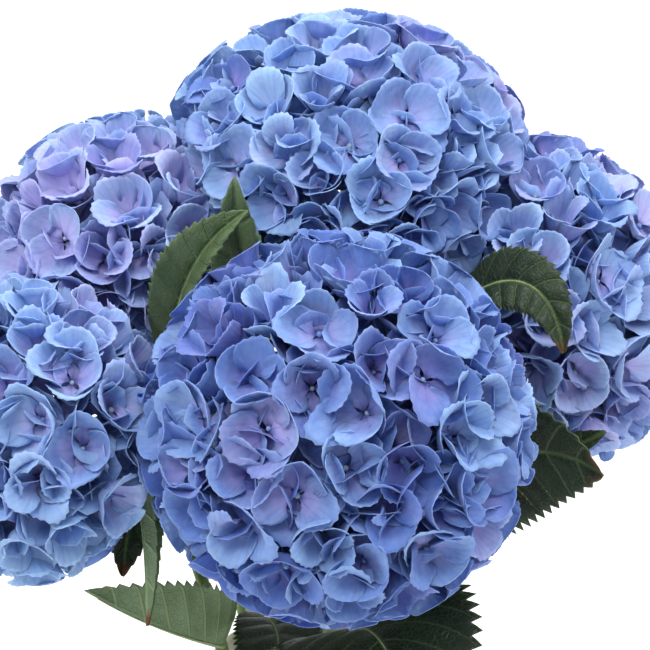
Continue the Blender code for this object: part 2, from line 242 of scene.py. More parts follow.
heads = {
    "front": Head((0.23, -0.83, 2.20), (0.00, -0.80, 0.60), 1.02, 1.10),
    "top": Head((0.29, 0.97, 2.92), (0.02, -0.12, 0.99), 1.07, 1.20),
    "left_upper": Head((-1.08, 0.70, 2.55), (-0.45, -0.25, 0.86), 0.82, 1.20),
    "left_lower": Head((-1.46, -0.46, 1.97), (-0.62, -0.60, 0.50), 0.83, 1.10),
    "right": Head((1.53, 0.74, 2.15), (0.82, -0.35, 0.46), 0.97, 1.00),
}


def bezier(points, t):
    """The point at this share of the smooth curve that these points pull into shape."""
    level = list(points)
    while len(level) > 1:
        level = [a.lerp(b, t) for a, b in zip(level, level[1:])]
    return level[0]


def square_to(direction, hint):
    """The direction nearest to the hint that is square to this one."""
    direction = direction.normalized()
    return (hint - direction * hint.dot(direction)).normalized()


def stem_points(head, fineness=1):
    """Points up a stem: from its cut foot to the vase's neck, then on to its crown."""
    crown = head.to_world(0, 0, head.crown_top - CROWN_HEIGHT)
    out = Vector((crown.x, crown.y, 0)).normalized()
    reach = NECK_RADIUS - VASE_WALL - STEM_RADIUS - NECK_GAP
    foot = out * (FOOT_SHARE * reach) + Vector((0, 0, VASE_FLOOR + FOOT_GAP))
    neck = out * reach + Vector((0, 0, NECK_HEIGHT))
    lean = (Vector((0, 0, 1)) + out * 0.20).normalized()
    rise = (crown - neck).length
    lower = (foot, foot + Vector((0, 0, 0.06)), neck - lean * 0.06, neck)
    upper = (neck, neck + lean * rise * 0.42, crown - head.facing * rise * 0.36, crown)
    low, high = LOWER_STEPS * fineness, UPPER_STEPS * fineness
    return [bezier(lower, i / low) for i in range(low)] + [bezier(upper, i / high) for i in range(high + 1)]


def along_stem(head, share):
    """Point, direction and radius at this share of a stem's way from neck to crown."""
    points = stem_points(head)
    place = LOWER_STEPS + share * UPPER_STEPS
    i = min(int(place), len(points) - 2)
    radius = STEM_RADIUS + (STEM_TOP_RADIUS - STEM_RADIUS) * place / (len(points) - 1)
    return points[i].lerp(points[i + 1], place - i), (points[i + 1] - points[i]).normalized(), radius


def tube(path, radii, sides, points, faces):
    """Adds a round, closed tube along a path to the points and faces."""
    base, side, last = len(points), Vector((1.0, 0.0, 0.0)), len(path) - 1
    for i, (middle, radius) in enumerate(zip(path, map(float, radii))):
        along = (path[min(i + 1, last)] - path[max(i - 1, 0)]).normalized()
        side = square_to(along, side)
        across = along.cross(side)
        for k in range(sides):
            a = 2 * math.pi * k / sides
            points.append(middle + radius * (side * math.cos(a) + across * math.sin(a)))
    for i in range(last):
        for k in range(sides):
            a, b = base + i * sides + k, base + i * sides + (k + 1) % sides
            faces.append((a, b, b + sides, a + sides))
    faces.append(tuple(base + k for k in reversed(range(sides))))
    faces.append(tuple(base + last * sides + k for k in range(sides)))


def crown_stalk(head, level, side):
    """The path of one stalk of the crown, from the stem's middle to under the florets."""
    start = head.crown_top - CROWN_HEIGHT * (0.90 - 0.24 * level)
    turn = math.pi * side + math.pi / 2 * level + 0.35
    out = head.rim_radius * (0.86, 0.66, 0.44)[level]
    way = Vector((math.cos(turn), math.sin(turn), 0))
    end = way * out * 0.97 + Vector((0, 0, head.hollow_height(out) - 0.003))
    bend = way * out * 0.45 + Vector((0, 0, start + 0.3 * (end.z - start) + 0.004))
    curve = (Vector((0, 0, start)), bend, end)
    return [head.to_world(*bezier(curve, i / 8)) for i in range(9)]


bark, tree, sockets = finish_called("green_stem", Specular_IOR_Level=0.4)
place = tree.node("TexCoord", output=3)
mottle = place.node("TexNoise", inputs={"Vector": place, "Scale": 60.0, "Detail": 5.0})
stretch = place.node("Mapping", inputs={"Vector": place, "Scale": (1400.0, 1400.0, 260.0)})
pores = place.node("TexNoise", inputs={"Vector": stretch, "Scale": 1.0, "Detail": 1.0}).between(0.66, 0.74)
ribs = place.node("Mapping", inputs={"Vector": place, "Scale": (2200.0, 2200.0, 60.0)})
ribs = place.node("TexNoise", inputs={"Vector": ribs, "Scale": 1.0, "Detail": 2.0})
skin = mottle.between(0.35, 0.68).blend(colour(92, 122, 58), colour(128, 152, 84))
skin = (ribs.between(0.4, 0.7) * 0.35).blend(skin, colour(74, 96, 50))
skin = (pores * 0.6).blend(skin, colour(112, 78, 66))
bump = place.node("Bump", inputs={"Strength": 0.4, "Distance": 0.0004, "Height": ribs * 0.5 - pores})
skin.into(sockets["Base Color"])
(mottle * 0.2 + 0.42).into(sockets["Roughness"])
bump.into(sockets["Normal"])

# Where leaves grew on each stem, as shares of its way from neck to crown, and how
# much it swells there over how long a stretch of the whole stem.
STEM_NODES = {
    "front": (0.28, 0.52, 0.66),
    "top": (0.22, 0.40, 0.80),
    "left_upper": (0.16, 0.50),
    "left_lower": (0.12, 0.52, 0.72, 0.90),
    "right": (0.36, 0.62),
}
NODE_SWELL, NODE_LENGTH, STEM_LENGTH = 0.0009, 0.006, 0.45

for name, head in heads.items():
    points, faces = [], []
    path = stem_points(head, fineness=5)
    count = len(path)
    neck_share = LOWER_STEPS / (LOWER_STEPS + UPPER_STEPS)
    radii = []
    for i in range(count):
        share = i / (count - 1)
        radius = STEM_RADIUS + (STEM_TOP_RADIUS - STEM_RADIUS) * share
        for node_share in STEM_NODES[name]:
            off = (share - neck_share - node_share * (1 - neck_share)) * STEM_LENGTH / NODE_LENGTH
            radius += NODE_SWELL * math.exp(-off * off)
        radii.append(radius)
    leader = head.to_world(0, 0, head.crown_top - 0.0007)
    path += [path[count - 1].lerp(leader, i / 6) for i in range(1, 7)]
    radii += [STEM_TOP_RADIUS + (STALK_RADIUS - STEM_TOP_RADIUS) * i / 6 for i in range(1, 7)]
    tube(path, radii, 16, points, faces)
    for level in range(3):
        for side in range(2):
            stalk = crown_stalk(head, level, side)
            tube(stalk, np.linspace(STALK_RADIUS, STALK_TIP_RADIUS, len(stalk)), 10, points, faces)
    stem = mesh_piece("shoot_" + name, points, faces, bark)
    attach(stem, "root")
    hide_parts("stem_" + name)


# ---------------------------------------------------------------- the leaves
# Broad oval leaves with coarse saw teeth, on short grooved stalks from the stems'
# nodes. The blade is thin and firm, quilted between its curved veins: dark green
# and satiny above, paler and matt below. Some tips have dried brown.

LEAF_HALF_WIDTH, LEAF_THICKNESS = 0.040, 0.0005

# A blade has three rows of points to each tooth. The teeth start near its edge and
# lean towards its tip.
TEETH, ROWS_PER_TOOTH, BLADE_HALF_COLUMNS = 23, 3, 11
BLADE_ROWS = TEETH * ROWS_PER_TOOTH
TOOTHED_FROM, TOOTH_DEPTH, TOOTH_MIDDLE, TOOTH_LEAN = 0.86, 0.17, 0.33, 0.0034
QUILT_HEIGHT, LEAF_STEPS, RIB_STEPS = 0.0017, 10, 40


def double_sided(front, faces, loop, thickness):
    """Closes many thin sheets of one pattern: their back sides and the walls round them."""
    count = front.shape[1]
    normals = np.zeros_like(front)
    for face in faces:
        corners = front[:, list(face)]
        normal = np.cross(corners[:, 1] - corners[:, 0], corners[:, -1] - corners[:, 0])
        if len(face) == 4:
            normal += np.cross(corners[:, 3] - corners[:, 2], corners[:, 1] - corners[:, 2])
        for corner in face:
            normals[:, corner] += normal
    normals /= np.linalg.norm(normals, axis=2, keepdims=True) + 1e-12
    both = np.concatenate([front, front - normals * thickness], axis=1)
    pattern = list(faces) + [tuple(count + i for i in reversed(face)) for face in faces]
    pattern += [(b, a, a + count, b + count) for a, b in zip(loop, loop[1:] + loop[:1])]
    every = []
    for sheet in range(len(front)):
        base = sheet * 2 * count
        every += [tuple(base + i for i in face) for face in pattern]
    return both.reshape(-1, 3), every


class Leaf:
    """A leaf: the stem and the share of it where it grows, the three places that its
    midrib bends to, the stalk's share of that way, how wide it is, which way its upper
    side faces, how steeply its halves rise, its pairs of veins, how far its upper side is
    painted as lit rather than in painted shade, and how brown its tip."""

    def __init__(self, stem, share, way, stalk, width, face, slope, veins=8, tone=0.0, brown=0.0):
        self.stem, self.share, self.stalk = stem, share, stalk
        mouth = Vector((0, 0, VASE_HEIGHT))
        self.bends = [mouth + Vector(place) * BLOOM_RADIUS for place in way]
        self.half = LEAF_HALF_WIDTH * width
        self.face, self.slope = Vector(face), math.radians(slope)
        self.veins, self.tone, self.brown = veins, tone, brown


# A leaf's tone is painted light: near 1 colours its upper side as a lit green, near 0 as a green in painted
# shade.
leaves = {
    "groove_right": Leaf(
        "top", 0.80, ((0.08, 0.59, 1.73), (-0.33, 0.16, 2.12), (-0.31, -0.20, 3.35)),
        0.42, 0.65, (-0.35, -0.9, 0.25), 14, tone=0.95),
    "groove_left": Leaf(
        "left_lower", 0.52, ((-0.84, 0.18, 1.91), (-0.76, -0.32, 2.86), (-0.24, -0.36, 3.23)),
        0.56, 0.46, (-0.7, -0.7, 0.2), 35, tone=0.6),
    "right_over": Leaf(
        "front", 0.66, ((0.73, 0.53, 2.54), (1.33, -0.38, 3.23), (1.43, -0.57, 2.50)),
        0.52, 0.44, (0.2, -0.85, 0.5), 12, tone=0.04, brown=0.7),
    "right_low": Leaf(
        "front", 0.52, ((0.74, 0.03, 1.50), (1.36, -0.28, 1.90), (1.65, -0.80, 1.88)),
        0.25, 1.07, (0, -0.95, 0.3), 8, tone=0.0, brown=0.5),
    "right_behind": Leaf(
        "right", 0.62, ((0.81, 0.24, 1.19), (1.33, -0.30, 1.58), (1.69, -0.51, 1.98)),
        0.35, 0.40, (0.1, -0.8, 0.6), 15, tone=0.0),
    "bottom_front": Leaf(
        "front", 0.28, ((0.37, -0.58, 0.97), (0.58, -1.05, 1.04), (0.69, -1.39, 0.27)),
        0.22, 1.40, (0.1, -0.5, 0.85), 10, tone=0.0),
    "bottom_left": Leaf(
        "left_lower", 0.20, ((-0.36, -0.51, 0.54), (-0.72, -0.72, 0.72), (-1.16, -0.78, 1.12)),
        0.22, 0.78, (0, 0.96, 0.29), 45, tone=0.8),
    "left_hanging": Leaf(
        "left_lower", 0.90, ((-0.96, -0.22, 1.71), (-0.79, -0.64, 1.71), (-0.81, -0.97, 1.02)),
        0.25, 0.38, (0.9, -0.4, 0.2), 62, tone=0.7, brown=1.0),
    "left_dark": Leaf(
        "left_lower", 0.72, ((-0.88, -0.11, 1.49), (-0.92, -0.32, 1.49), (-0.98, -0.53, 1.04)),
        0.22, 0.55, (0.2, -0.85, 0.5), 20, tone=0.0, brown=0.8),
    "left_under": Leaf(
        "left_lower", 0.12, ((-0.65, -0.26, 0.10), (-0.79, -0.49, 0.17), (-0.92, -0.74, 0.06)),
        0.22, 0.60, (0.1, -0.4, 0.9), 20, tone=0.0),
    "bottom_middle": Leaf(
        "left_upper", 0.16, ((0.01, -0.19, 0.50), (-0.09, -0.68, 0.65), (-0.23, -1.11, 0.14)),
        0.22, 0.62, (0, -0.45, 0.9), 12, tone=0.1),
    "back_right": Leaf(
        "top", 0.40, ((0.16, 1.18, 1.15), (0.69, 1.50, 1.65), (1.00, 1.76, 1.39)),
        0.22, 0.95, (0.3, 0.5, 0.8), 14, tone=0.2),
    "back_left": Leaf(
        "left_upper", 0.50, ((-0.41, 1.19, 1.18), (-0.77, 1.55, 1.70), (-1.14, 1.81, 1.33)),
        0.22, 0.95, (-0.3, 0.5, 0.8), 14, tone=0.1),
    "back_low": Leaf(
        "top", 0.22, ((-0.04, 0.93, 0.55), (-0.10, 1.29, 1.02), (-0.20, 1.60, 0.66)),
        0.22, 0.90, (-0.1, 0.45, 0.9), 14, tone=0.3),
    "right_back": Leaf(
        "right", 0.36, ((0.89, 0.82, 1.02), (1.31, 1.08, 1.28), (1.73, 1.19, 1.02)),
        0.22, 0.90, (0.4, 0.3, 0.85), 14, tone=0.2),
}


def leaf_finish(name, tone, brown):
    """Leaf colour: green above, from a green in painted shade to a painted lit green by the tone, paler
    below, light along the veins, brown at the tip.
    """
    material, tree, sockets = finish_called(
        name, Subsurface_Weight=0.08, Subsurface_Scale=0.001, Specular_IOR_Level=0.35)
    mark = {key: tree.node("Attribute", {"attribute_name": key}, output=2)
            for key in ("vein", "across", "along", "under", "edge")}
    place = tree.node("TexCoord", output=3)
    mottle = place.node("TexNoise", inputs={"Vector": place, "Scale": 45.0, "Detail": 4.0})
    cells = place.node("TexVoronoi", {"feature": "DISTANCE_TO_EDGE"}, {"Vector": place, "Scale": 330.0})
    net = 1 - cells.between(0.0, 0.10)
    phase = mark["vein"] + (mottle - 0.5) * 0.05
    side_vein = 1 - (phase.maths("FRACT") - 0.5).maths("ABSOLUTE").between(0.02, 0.075)
    middle_vein = 1 - mark["across"].between(0.012, 0.05)
    veins = side_vein.maths("MAXIMUM", middle_vein)
    # Painted light and shade: the tone mixes a copy of the upper green in painted shade with a lit copy.
    shaded_green = mottle.between(0.3, 0.7).blend(colour(18, 32, 18), colour(28, 46, 25))
    lit = mottle.between(0.3, 0.7).blend(colour(86, 110, 70), colour(112, 134, 94))
    upper = tree.node("Mix", {"data_type": "RGBA"}, {0: tone, 6: shaded_green, 7: lit}, 2)
    upper = (net * 0.12).blend(upper, colour(92, 116, 74))
    upper = (veins * 0.20 + middle_vein * 0.12).blend(upper, colour(116, 140, 90))
    lower = mottle.between(0.3, 0.7).blend(colour(104, 126, 90), colour(124, 146, 108))
    lower = (net * 0.25).blend(lower, colour(92, 116, 76))
    lower = (veins * 0.6).blend(lower, colour(156, 174, 124))
    skin = mark["under"].blend(upper, lower)
    dry = (mark["along"] + (mottle - 0.5) * 0.16).between(0.93, 0.99) * brown
    skin = dry.blend(skin, colour(104, 62, 34))
    skin = (mark["edge"].between(0.6, 1.0) * 0.21).blend(skin, colour(96, 116, 70))
    relief = net * -0.4 + mottle * 0.5 + (mark["under"] * 2.0 - 1.0) * veins * 1.2
    bump = place.node("Bump", inputs={"Strength": 0.8, "Distance": 0.0008, "Height": relief})
    skin.into(sockets["Base Color"])
    (mottle * 0.2 + mark["under"] * 0.15 + 0.36).into(sockets["Roughness"])
    bump.into(sockets["Normal"])
    return material


def blade_width(share):
    """How wide a blade is at this share of its length, where its widest is 1."""
    return math.sin(math.pi * share ** 0.82) ** 0.72 if 0 < share < 1 else 0.0


def leaf_frames(curve, shares, root, face):
    """Tangent and up direction at each share of the midrib, carried on so it doesn't twist."""
    tangents = [bezier(curve, min(s + 0.01, 1)) - bezier(curve, max(s - 0.01, 0)) for s in shares]
    tangents[0] = root
    tangents = [tangent.normalized() for tangent in tangents]
    middle = round(len(shares) * 0.6)
    ups = {middle: square_to(tangents[middle], face)}
    for i in range(middle + 1, len(shares)):
        ups[i] = square_to(tangents[i], ups[i - 1])
    for i in reversed(range(middle)):
        ups[i] = square_to(tangents[i], ups[i + 1])
    return [(tangents[i], ups[i]) for i in range(len(shares))]


def blade_sheet(leaf, curve, rows, frames, dice):
    """A blade's upper side, row by row from the stalk, and its points' marks. A vein runs
    wherever the vein mark passes a half, and the blade is quilted up between them."""
    length = sum((bezier(curve, a) - bezier(curve, b)).length for a, b in zip(rows, rows[1:]))
    wave, turn = dice.uniform(0.0008, 0.0020), dice.uniform(0, 6.3)
    sheet, marks = [], {"vein": [], "across": [], "along": [], "edge": []}
    for i, (share, (tangent, up)) in enumerate(zip(rows, frames)):
        middle, across = bezier(curve, share), tangent.cross(up)
        blade = i / BLADE_ROWS
        half = max(leaf.half * blade_width(blade), 0.0006)
        tooth = (i % ROWS_PER_TOOTH) / ROWS_PER_TOOTH * min(1, half / 0.012)
        for c in range(-BLADE_HALF_COLUMNS, BLADE_HALF_COLUMNS + 1):
            share_out = c / BLADE_HALF_COLUMNS
            edge = max(0, (abs(share_out) - TOOTHED_FROM) / (1 - TOOTHED_FROM))
            reach = half * share_out * (1 + TOOTH_DEPTH * edge * (tooth - TOOTH_MIDDLE))
            away = abs(reach)
            phase = leaf.veins * (blade - (0.72 * away + 3.5 * away * away) / length) + 0.5
            quilt = abs(math.sin(math.pi * (phase - 0.5))) ** 0.8 * QUILT_HEIGHT
            quilt *= min(1, away / 0.004) * (1 - edge) * min(1, half / 0.010)
            ripple = wave * share_out ** 2 * math.sin(9 * blade + turn + 2 * (c > 0))
            lift = away * math.sin(leaf.slope) + quilt + ripple
            place = middle + across * reach * math.cos(leaf.slope) + up * lift
            sheet.append(place + tangent * edge * (TOOTH_LEAN * tooth))
            marks["vein"].append(phase)
            marks["across"].append(away / LEAF_HALF_WIDTH if c else 0.0)
            marks["along"].append(blade)
            marks["edge"].append(edge)
    return sheet, marks


blade_wide = 2 * BLADE_HALF_COLUMNS + 1
blade_faces = [(a, a + 1, a + blade_wide + 1, a + blade_wide)
               for row in range(BLADE_ROWS) for a in range(row * blade_wide, (row + 1) * blade_wide - 1)]
last_row = BLADE_ROWS * blade_wide
blade_loop = list(range(blade_wide)) + [i * blade_wide + blade_wide - 1 for i in range(1, BLADE_ROWS + 1)]
blade_loop += [last_row + c for c in reversed(range(blade_wide - 1))]
blade_loop += [i * blade_wide for i in reversed(range(1, BLADE_ROWS))]

blades = {}
for number, (name, leaf) in enumerate(leaves.items()):
    dice = random.Random(200 + number)
    point, along, radius = along_stem(heads[leaf.stem], leaf.share)
    out = square_to(along, leaf.bends[0] - point)
    start = point + out * (radius - 0.0006)
    curve = [start, start + out * 0.010] + leaf.bends
    stalk = leaf.stalk
    lead = [stalk * i / LEAF_STEPS for i in range(LEAF_STEPS)]
    rows = [stalk + (1 - stalk) * i / BLADE_ROWS for i in range(BLADE_ROWS + 1)]
    frames = leaf_frames(curve, lead + rows, out, leaf.face)[LEAF_STEPS:]
    sheet, marks = blade_sheet(leaf, curve, rows, frames, dice)
    points, faces = double_sided(np.array([sheet]), blade_faces, blade_loop, LEAF_THICKNESS)
    points = [Vector(point) for point in points]
    marks = {mark: values + values for mark, values in marks.items()}
    marks["under"] = [0.0] * len(sheet) + [1.0] * len(sheet)

    # every third point of the blade's outer two thirds, for what must lie behind it
    picked = [(i, c) for i in range(BLADE_ROWS // 3, BLADE_ROWS, 3) for c in range(0, blade_wide, 3)]
    blades[name] = (np.array([sheet[i * blade_wide + c] for i, c in picked]),
                    np.array([frames[i][1] for i, c in picked]))

    before = len(points)
    stalk_path = [bezier(curve, stalk * 1.04 * i / 16) for i in range(17)]
    rib_path = [bezier(curve, stalk + (1 - stalk) * i / RIB_STEPS)
                - frames[round(i * BLADE_ROWS / RIB_STEPS)][1] * LEAF_THICKNESS for i in range(RIB_STEPS - 1)]
    tube(stalk_path, np.linspace(0.0019, 0.0015, 17), 10, points, faces)
    tube(rib_path, np.linspace(0.0014, 0.0003, RIB_STEPS - 1), 8, points, faces)
    more = len(points) - before
    for mark, value in (("vein", 0.5), ("across", 0.0), ("along", 0.3), ("under", 1.0), ("edge", 0.0)):
        marks[mark] = marks[mark] + [value] * more
    finish = leaf_finish("green_leaf_" + name, leaf.tone, leaf.brown)
    blade_piece = mesh_piece("foliage_" + name, points, faces, finish, marks)
    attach(blade_piece, "root")
    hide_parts("leaf_" + name)


# ---------------------------------------------------------------- the florets
# Each head is a ball of sterile florets, standing in two layers on thin stalks. A floret
# has four broad papery sepals, toothed at the edge, that narrow to claws round a bead
# of a bud and bend up where they meet the next floret's.

FLORET_SPACING, SEPAL_THICKNESS = 0.0265, 0.00030

# How far a sepal spreads from its middle line and how far out its teeth's feet are
WIDEST, TOOTH_SHARE = math.radians(76), 0.958

# How far down its sides a head carries florets, the turn from one to the next, how
# much of the round they cover, and how far a neighbour may press them in.
HEAD_EDGE, GOLDEN_TURN = math.radians(127), 2.399963
COVERED_SHARE, HEXAGON_SHARE, LEAST_PRESSED = 0.86, 0.866, 0.74


class Pattern:
    """A flat sepal: each point's spread from the middle line, its share of the way to the
    edge, how far the edge lies there and whether it is on it, then its faces and the
    loop round it. It widens from the claw in rings and ends in a toothed edge."""

    def __init__(self, columns, shares, spreads, edge_steps):
        spread, reach, rings, faces = [], [], [], []
        for share, widest in zip(shares, spreads):
            rings.append(list(range(len(spread), len(spread) + columns + 1)))
            spread += [widest * (2 * c / columns - 1) for c in range(columns + 1)]
            reach += [share] * (columns + 1)
        inside, outer = len(spread), columns * edge_steps
        edge = list(range(inside, inside + outer + 1))
        spread += [spreads[-1] * (2 * c / outer - 1) for c in range(outer + 1)]
        reach += [1.0 if c % 2 else TOOTH_SHARE for c in range(outer + 1)]
        for low, high in zip(rings, rings[1:]):
            faces += [(low[c], low[c + 1], high[c + 1], high[c]) for c in range(columns)]
        half = edge_steps // 2
        for c in range(columns):
            left, right = rings[-1][c], rings[-1][c + 1]
            e = edge[c * edge_steps:(c + 1) * edge_steps + 1]
            faces += [(left, e[i + 1], e[i]) for i in range(half)] + [(left, right, e[half])]
            faces += [(right, e[i + 1], e[i]) for i in range(half, edge_steps)]
        self.faces = faces
        self.loop = rings[0] + [ring[-1] for ring in rings[1:]] + list(reversed(edge))
        self.loop += [ring[0] for ring in reversed(rings[1:])]
        self.spread = np.radians(np.array(spread))
        self.reach = np.array(reach)
        self.outline = 1.03 * np.cos(self.spread) ** 0.66
        self.rim = np.array([0.0] * inside + [1.0] * (outer + 1))


class Layer:
    """One layer of a head's florets: the sepals' pattern, how far apart and how deep the
    florets' middles are, how long a sepal is, how closed the highest and lowest florets
    are in degrees, how unevenly high they stand, and the least share of the way to a
    neighbour that a sepal lies flat."""

    def __init__(self, name, pattern, spacing, depth, length, closed, uneven, least):
        self.name, self.pattern, self.spacing, self.depth = name, pattern, spacing, depth
        self.length, self.closed, self.uneven, self.least = length, closed, uneven, least


outer_layer = Layer(
    "florets_", Pattern(8, (0.035, 0.15, 0.32, 0.52, 0.72, 0.89), (30, 36, 52, 65, 73, 76), 3),
    FLORET_SPACING, 0.0175, 0.0280, (0, 38), 0.0064, 0.43)
under_layer = Layer(
    "under_florets_", Pattern(6, (0.035, 0.24, 0.50, 0.80), (30, 44, 66, 76), 2),
    FLORET_SPACING * 0.74, 0.0262, 0.0270, (0, 14), 0.0025, 0.92)


def press_planes(name):
    """For each neighbouring head, how far out this one may reach towards it."""
    this, planes = heads[name], []
    push = this.radius * this.firmness
    for other_name, other in heads.items():
        if other_name != name:
            apart = other.middle - this.middle
            share = push / (push + other.radius * other.firmness)
            planes.append((np.array(apart.normalized()), apart.length * share - 0.0015))
    return planes


def pressed(points, head, planes, slack=0.0):
    """The points, drawn in towards the head's middle where a neighbour presses on it."""
    reach = points - np.array(head.middle)
    share = np.ones(len(points))
    for out, allowed in planes:
        limit, wanted = allowed + slack, reach @ out
        share = np.where(wanted > limit, np.minimum(share, limit / np.maximum(wanted, 1e-6)), share)
    return np.array(head.middle) + reach * share[:, None], share


FREE_STRETCH, MORE_STRETCH = 0.97, 0.075


def gathered(points, head):
    """The points, drawn in where they stand far out of the head's own round shape."""
    turn = np.array(head.turn)
    local = (points - np.array(head.middle)) @ turn
    stretch = np.linalg.norm(local / np.array([1, 1, BLOOM_FLATNESS]), axis=1) / head.radius
    over = np.maximum(stretch - FREE_STRETCH, 0)
    kept = np.where(over > 0, FREE_STRETCH + MORE_STRETCH * np.tanh(over / MORE_STRETCH), stretch)
    return points + ((kept / stretch - 1)[:, None] * local) @ turn.T


# The heads that each of these leaves lies over, and how far under, beside and above its
# blade a sepal's point is taken to be in front of it.
LEAF_OVER = {
    "groove_right": ("top", "left_upper"),
    "groove_left": ("left_upper", "top"),
    "right_over": ("right", "top"),
    "left_hanging": ("left_lower",),
}
LEAF_SKIN, LEAF_BESIDE, LEAF_ABOVE = 0.002, 0.007, 0.035


def behind_leaves(sepals, name):
    """A head's sepals, each one moved back whole from a leaf that lies over that head."""
    for leaf_name, under in LEAF_OVER.items():
        if name not in under:
            continue
        spots, ups = blades[leaf_name]
        points = sepals.reshape(-1, 3)
        near = np.full(len(points), 9.0)
        nearest = np.zeros(len(points), int)
        for i, spot in enumerate(spots):
            far = ((points - spot) ** 2).sum(axis=1)
            closer = far < near
            near[closer], nearest[closer] = far[closer], i
        up = ups[nearest]
        height = ((points - spots[nearest]) * up).sum(axis=1)
        aside = np.sqrt(np.maximum(near - height ** 2, 0))
        in_front = (aside < LEAF_BESIDE) * (height > -LEAF_SKIN) * (height < LEAF_ABOVE)
        back = (height + LEAF_SKIN) * in_front
        back = back.reshape(sepals.shape[:2])
        most = back.argmax(axis=1)
        which = np.arange(len(sepals))
        ups_there = up.reshape(sepals.shape)[which, most]
        sepals = sepals - (ups_there * back[which, most][:, None])[:, None, :]
    return sepals


def floret_spots(name, layer, dice):
    """Middles and outward directions of a head's florets, evenly strewn over it. None
    grows where a neighbouring head presses the surface far in."""
    head, planes = heads[name], press_planes(name)
    cap = 1 - math.cos(HEAD_EDGE)
    area = 2 * math.pi * cap * (head.radius - layer.depth) ** 2 * COVERED_SHARE
    total = round(area / (HEXAGON_SHARE * layer.spacing ** 2))
    spots = []
    for i in range(total):
        turn = i * GOLDEN_TURN + dice.uniform(-0.05, 0.05)
        rise = 1 - (i + 0.5) / total * cap
        down = math.acos(max(-1, min(1, rise))) + dice.uniform(-0.04, 0.04)
        out = Vector((math.sin(down) * math.cos(turn), math.sin(down) * math.sin(turn), math.cos(down)))
        local = Vector((out.x, out.y, out.z * BLOOM_FLATNESS)) * head.radius
        normal = head.turn @ Vector((out.x, out.y, out.z / BLOOM_FLATNESS)).normalized()
        surface, share = pressed(np.array([head.to_world(*local)]), head, planes)
        if share[0] > LEAST_PRESSED:
            spots.append((Vector(surface[0]) - normal * layer.depth, normal))
    return spots


# Which florets count as neighbours, the share of the way between two that the lower or
# higher gets, and how much room a sepal has at most and at least.
NEAR_FLORET, MOST_ROOM, LEAST_ROOM = 0.055, 0.034, 0.008
EVEN_SHARE, SHARE_PER_METRE, MOST_SHARE = 0.51, 55, 0.90

# A sepal bends in steps, up to this angle, and curls over from half its length. The
# florets may stand a little past the face where two heads press on each other.
BEND_STEPS, STEEPEST, CURLS_FROM = 14, math.radians(68), 0.50
PRESS_SLACK = 0.007


def walls_round(i, spots, levels, side, across, least):
    """Where a floret meets its neighbours: the direction and the distance of each. The
    one that stands higher gets more of the way between them."""
    walls = []
    middle = spots[i][0]
    for j, (other, _) in enumerate(spots):
        apart = other - middle
        x, y = apart.dot(side), apart.dot(across)
        far = math.hypot(x, y)
        if j != i and far < NEAR_FLORET:
            share = EVEN_SHARE + (levels[i] - levels[j]) * SHARE_PER_METRE
            share = max(least, min(MOST_SHARE, share))
            walls.append((math.atan2(y, x), far * share))
    return walls


def room_towards(directions, walls):
    """How far out a sepal may lie flat in each direction, rounded where two walls meet."""
    room = np.full(len(directions), 0.0)
    for angle, wall in walls:
        facing = np.maximum(np.cos(directions - angle), 0.12)
        room += (wall / facing) ** -5.0
    return np.clip((room + MOST_ROOM ** -5.0) ** (-1 / 5.0), LEAST_ROOM, MOST_ROOM)


def bent_up(lengths, room, rise, long, curl):
    """How far out and how high the ends of lines of these lengths come, if each rises
    at an angle, bends up steeply where its room ends and curls over at its tip."""
    flat, high = np.full(len(lengths), 0.0), np.full(len(lengths), 0.0)
    for step in range(BEND_STEPS):
        gone = lengths * (step + 0.5) / BEND_STEPS
        t = np.clip((flat / room - 0.55) / 0.50, 0, 1)
        angle = rise + (STEEPEST - rise) * t * t * (3 - 2 * t)
        tip = np.clip((gone / long - CURLS_FROM) / (1 - CURLS_FROM), 0, 1)
        angle = angle - curl * tip * tip
        flat += np.cos(angle) * lengths / BEND_STEPS
        high += np.sin(angle) * lengths / BEND_STEPS
    return flat, high


def sepal(pattern, dice, number, start, size, base_rise, walls):
    """One of a floret's four sepals, in the floret's own directions. The upper pair
    stands a little higher and is a little shorter, and each has its own bends."""
    spread, reach, upper = pattern.spread, pattern.reach, number % 2
    turned = start + number * math.pi / 2 + dice.uniform(-0.14, 0.14)
    rise = base_rise + math.radians(9 if upper else -5) + dice.gauss(0, 0.12)
    if dice.random() < 0.10:
        rise += dice.uniform(0.30, 0.70)
    fold, roll = dice.gauss(0.04, 0.16), dice.gauss(0, 0.13)
    long = size * (1.0 if upper else 1.06) * dice.uniform(0.93, 1.06)
    wavy = 1 + 0.07 * np.sin(2.3 * spread + dice.uniform(0, 6.3))
    wavy = wavy + 0.03 * np.sin(5.1 * spread + dice.uniform(0, 6.3))
    wavy += dice.uniform(-0.05, 0.09) * np.exp(-(spread / 0.24) ** 2)
    lengths = long * reach * pattern.outline * wavy + 0.0003
    curl = dice.uniform(-0.25, 0.75)
    directions = turned + spread
    flat, high = bent_up(lengths, room_towards(directions, walls), rise, long, curl)
    aside = spread / WIDEST
    cup = dice.uniform(-0.0022, 0.0026) - (0.0 if upper else 0.0008)
    ruffle = dice.uniform(0.0004, 0.0015) * np.sin(aside * dice.uniform(5, 9) + dice.uniform(0, 6.3))
    high = high + cup * aside * aside * reach + ruffle * reach ** 3
    high = high + (fold * np.abs(aside) + roll * np.sin(spread)) * lengths
    high = high + (0.0007 if upper else 0.0)
    return np.stack([flat * np.cos(directions), flat * np.sin(directions), high], axis=1)


